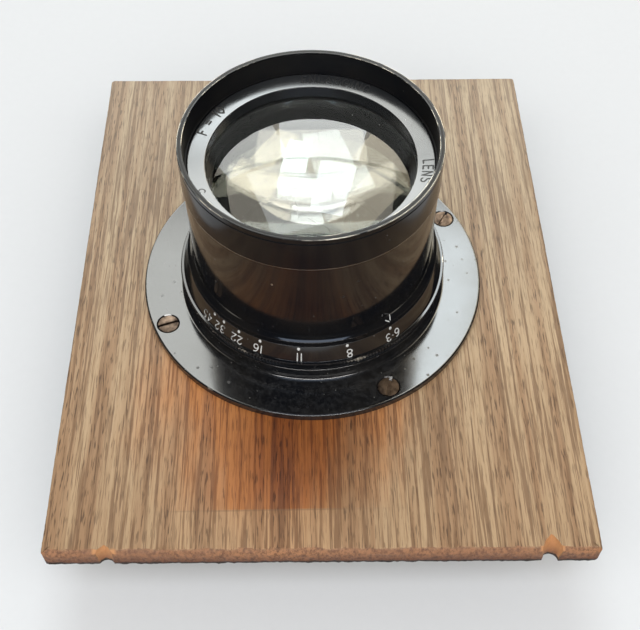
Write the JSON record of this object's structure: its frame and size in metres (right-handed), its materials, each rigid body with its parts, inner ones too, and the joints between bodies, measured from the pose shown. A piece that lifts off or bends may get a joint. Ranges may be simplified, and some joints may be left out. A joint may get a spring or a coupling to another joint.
{
  "type": "enlarging lens on a lens board",
  "caption": "Large enlarging lens in a black lacquered barrel with an iris and scale ring, screwed by its flange to a wooden lens board.",
  "frame": {"origin": "on the lens axis at the rear rim, the plane that the lens stands on", "axes": "+Z along the lens axis and out of the front glass, -Y towards the middle of the aperture scale and the board's notched edge, +X to the right seen from that edge"},
  "size_m": [0.1259, 0.1588, 0.077],
  "materials": {
    "lens_board": "oiled ash with a worn, oxidised surface",
    "black_lacquer": "glossy stoved black lacquer over brass",
    "hood_lacquer": "glossy black lacquer outside, matt black inside, brass showing at the rim",
    "satin_black": "satin black lacquer",
    "matt_black": "matt black",
    "aged_brass": "tarnished brass",
    "glass": "polished optical glass",
    "blade_steel": "blued spring steel"
  },
  "bodies": {
    "root": {"lens_board": "lens_board", "flange": "black_lacquer", "barrel": "black_lacquer", "front_cell": "hood_lacquer", "name_ring": "satin_black", "index_collar": "black_lacquer", "rear_cell": "black_lacquer", "rear_lock_ring": "matt_black", "flange_screws": "aged_brass", "iris_base_plate": "matt_black", "iris_retaining_ring": "matt_black", "front_outer_glass": "glass", "front_inner_glass": "glass", "rear_inner_glass": "glass", "rear_outer_glass": "glass", "front_spacer": "matt_black", "rear_spacer": "matt_black"},
    "aperture": {"aperture_ring": "black_lacquer", "aperture_drive_screw": "aged_brass", "iris_cam_ring": "matt_black"},
    "iris_blade_01": {"iris_blade_01": "blade_steel"},
    "iris_blade_02": {"iris_blade_02": "blade_steel"},
    "iris_blade_03": {"iris_blade_03": "blade_steel"},
    "iris_blade_04": {"iris_blade_04": "blade_steel"},
    "iris_blade_05": {"iris_blade_05": "blade_steel"},
    "iris_blade_06": {"iris_blade_06": "blade_steel"},
    "iris_blade_07": {"iris_blade_07": "blade_steel"},
    "iris_blade_08": {"iris_blade_08": "blade_steel"},
    "iris_blade_09": {"iris_blade_09": "blade_steel"},
    "iris_blade_10": {"iris_blade_10": "blade_steel"}
  },
  "joints": [
    {"name": "aperture_turn", "type": "hinge", "parent": "root", "child": "aperture", "pos_m": [0, 0, 0.0368], "axis": [0, 0, 1], "range_deg": [0, 84.7]},
    {"name": "iris_blade_01_turn", "type": "hinge", "parent": "root", "child": "iris_blade_01", "pos_m": [0.0219, 0, 0.0281], "axis": [0, 0, 1], "range_deg": [0, 42.35]},
    {"name": "iris_blade_02_turn", "type": "hinge", "parent": "root", "child": "iris_blade_02", "pos_m": [0.01772, 0.01287, 0.0281], "axis": [0, 0, 1], "range_deg": [0, 42.35]},
    {"name": "iris_blade_03_turn", "type": "hinge", "parent": "root", "child": "iris_blade_03", "pos_m": [0.00677, 0.02083, 0.0281], "axis": [0, 0, 1], "range_deg": [0, 42.35]},
    {"name": "iris_blade_04_turn", "type": "hinge", "parent": "root", "child": "iris_blade_04", "pos_m": [-0.00677, 0.02083, 0.0281], "axis": [0, 0, 1], "range_deg": [0, 42.35]},
    {"name": "iris_blade_05_turn", "type": "hinge", "parent": "root", "child": "iris_blade_05", "pos_m": [-0.01772, 0.01287, 0.0281], "axis": [0, 0, 1], "range_deg": [0, 42.35]},
    {"name": "iris_blade_06_turn", "type": "hinge", "parent": "root", "child": "iris_blade_06", "pos_m": [-0.0219, 0, 0.0281], "axis": [0, 0, 1], "range_deg": [0, 42.35]},
    {"name": "iris_blade_07_turn", "type": "hinge", "parent": "root", "child": "iris_blade_07", "pos_m": [-0.01772, -0.01287, 0.0281], "axis": [0, 0, 1], "range_deg": [0, 42.35]},
    {"name": "iris_blade_08_turn", "type": "hinge", "parent": "root", "child": "iris_blade_08", "pos_m": [-0.00677, -0.02083, 0.0281], "axis": [0, 0, 1], "range_deg": [0, 42.35]},
    {"name": "iris_blade_09_turn", "type": "hinge", "parent": "root", "child": "iris_blade_09", "pos_m": [0.00677, -0.02083, 0.0281], "axis": [0, 0, 1], "range_deg": [0, 42.35]},
    {"name": "iris_blade_10_turn", "type": "hinge", "parent": "root", "child": "iris_blade_10", "pos_m": [0.01772, -0.01287, 0.0281], "axis": [0, 0, 1], "range_deg": [0, 42.35]}
  ],
  "couplings": [
    {"joint": "iris_blade_01_turn", "follows": "aperture_turn", "ratio": 0.5},
    {"joint": "iris_blade_02_turn", "follows": "aperture_turn", "ratio": 0.5},
    {"joint": "iris_blade_03_turn", "follows": "aperture_turn", "ratio": 0.5},
    {"joint": "iris_blade_04_turn", "follows": "aperture_turn", "ratio": 0.5},
    {"joint": "iris_blade_05_turn", "follows": "aperture_turn", "ratio": 0.5},
    {"joint": "iris_blade_06_turn", "follows": "aperture_turn", "ratio": 0.5},
    {"joint": "iris_blade_07_turn", "follows": "aperture_turn", "ratio": 0.5},
    {"joint": "iris_blade_08_turn", "follows": "aperture_turn", "ratio": 0.5},
    {"joint": "iris_blade_09_turn", "follows": "aperture_turn", "ratio": 0.5},
    {"joint": "iris_blade_10_turn", "follows": "aperture_turn", "ratio": 0.5}
  ]
}
